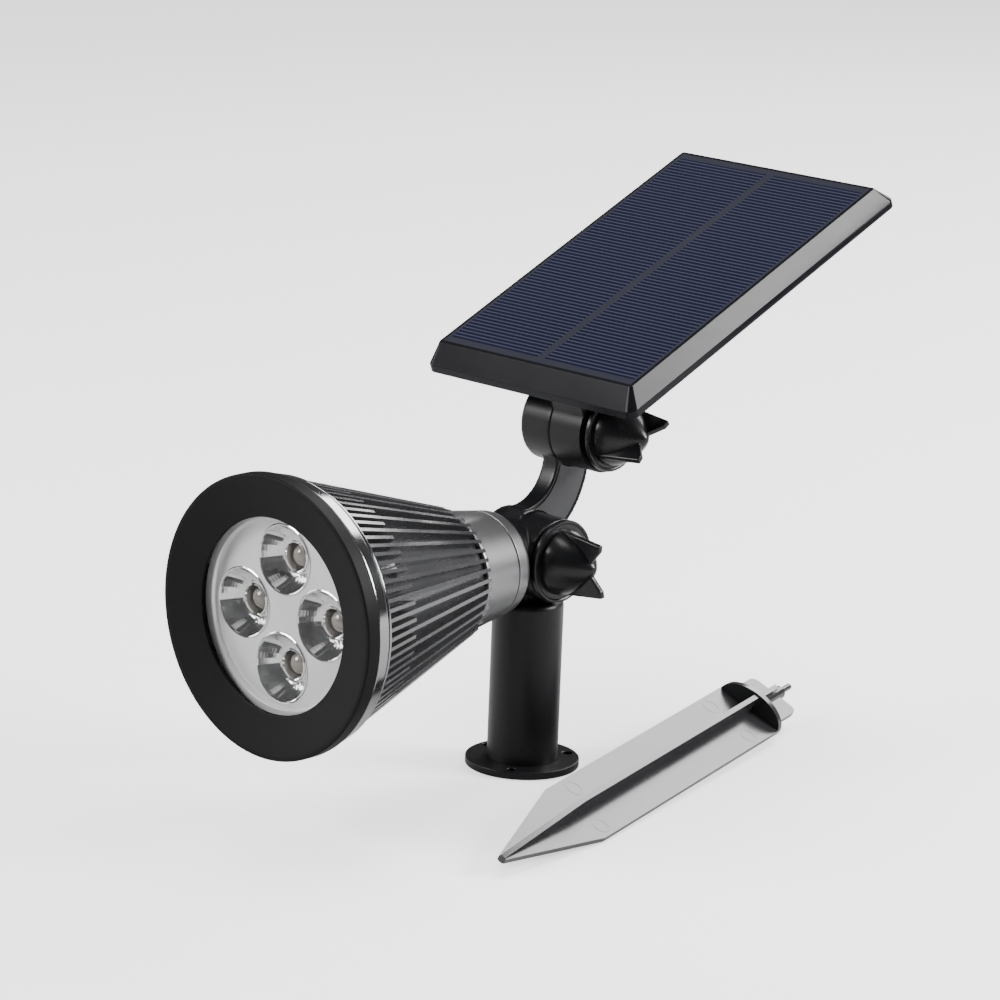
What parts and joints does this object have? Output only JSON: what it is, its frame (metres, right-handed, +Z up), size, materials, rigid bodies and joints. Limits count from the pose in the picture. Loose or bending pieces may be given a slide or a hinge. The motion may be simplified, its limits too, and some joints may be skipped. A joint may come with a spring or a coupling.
{
  "type": "solar garden spotlight",
  "caption": "Garden spotlight on a screw-down post: finned round lamp head that tilts, solar panel on a curved arm, thumb knobs, and a separate ground stake.",
  "frame": {"origin": "centre of the base flange's underside, where it meets the ground or wall", "axes": "+Z up the post; the lamp shines towards -Y; clamp axes and knobs point along +X"},
  "size_m": [0.1215, 0.2519, 0.1904],
  "materials": {
    "satin_black": "satin moulded black plastic",
    "gunmetal": "glossy dark gunmetal lacquer",
    "collar_grey": "satin dark grey lacquer",
    "bezel_black": "matt black",
    "clear_lens": "clear acrylic, faint blue edge",
    "reflector_silver": "metallised satin silver",
    "led_dome": "warm clear resin",
    "board_white": "white lacquered circuit board",
    "board_green": "green circuit board",
    "cell_wrap": "shrink-wrapped cell",
    "steel": "zinc plated steel",
    "brass": "machined brass",
    "knob_black": "satin black",
    "rubber": "soft black rubber",
    "button_rubber": "soft dark rubber",
    "panel_black": "glossy black",
    "cell_blue": "dark blue photovoltaic cells under glass",
    "stake_black": "glossy black plastic"
  },
  "bodies": {
    "post": {"base_flange": "satin_black", "post_tube": "satin_black", "post_tongue": "satin_black", "tongue_screws": "steel"},
    "head": {"pivot_body": "satin_black", "arm_cover": "collar_grey", "lower_bolt": "steel", "lower_washer": "steel", "upper_bolt": "steel", "neck_collar": "collar_grey", "heat_sink": "gunmetal", "rim_ring": "gunmetal", "bezel": "bezel_black", "front_lens": "clear_lens", "lens_seal": "rubber", "reflector": "reflector_silver", "reflector_screws": "steel", "led_board": "board_white", "led_emitters": "led_dome", "battery_cell": "cell_wrap", "battery_sleeve": "satin_black", "control_board": "board_green"},
    "panel": {"panel_housing": "panel_black", "solar_panel": "cell_blue", "panel_cover": "satin_black", "cover_screws": "steel", "panel_bracket": "satin_black", "bracket_screws": "steel", "upper_washer": "rubber", "button_boot": "rubber", "switch_block": "satin_black"},
    "lower_clamp": {"lower_knob": "knob_black", "lower_knob_insert": "brass"},
    "upper_clamp": {"upper_knob": "knob_black", "upper_knob_insert": "brass"},
    "button": {"power_button": "button_rubber"},
    "stake": {"ground_stake": "stake_black"}
  },
  "joints": [
    {"name": "head_tilt", "type": "hinge", "parent": "post", "child": "head", "pos_m": [0, 0, 0.0735], "axis": [-1, 0, 0], "range_deg": [-10, 60]},
    {"name": "panel_tilt", "type": "hinge", "parent": "head", "child": "panel", "pos_m": [0, 0.021, 0.1148], "axis": [1, 0, 0], "range_deg": [-70, 60]},
    {"name": "lower_knob_turn", "type": "hinge", "parent": "head", "child": "lower_clamp", "pos_m": [0, 0, 0.0735], "axis": [1, 0, 0], "continuous": true},
    {"name": "upper_knob_turn", "type": "hinge", "parent": "head", "child": "upper_clamp", "pos_m": [0, 0.021, 0.1148], "axis": [1, 0, 0], "continuous": true},
    {"name": "button_press", "type": "slide", "parent": "panel", "child": "button", "axis": [0, -0.3907, 0.9205], "range_m": [0, 0.0012], "stiffness_N_per_m": 300},
    {"name": "stake_slide", "type": "slide", "parent": "post", "child": "stake", "axis": [1, 0, 0], "range_m": [0, 0.12]}
  ]
}
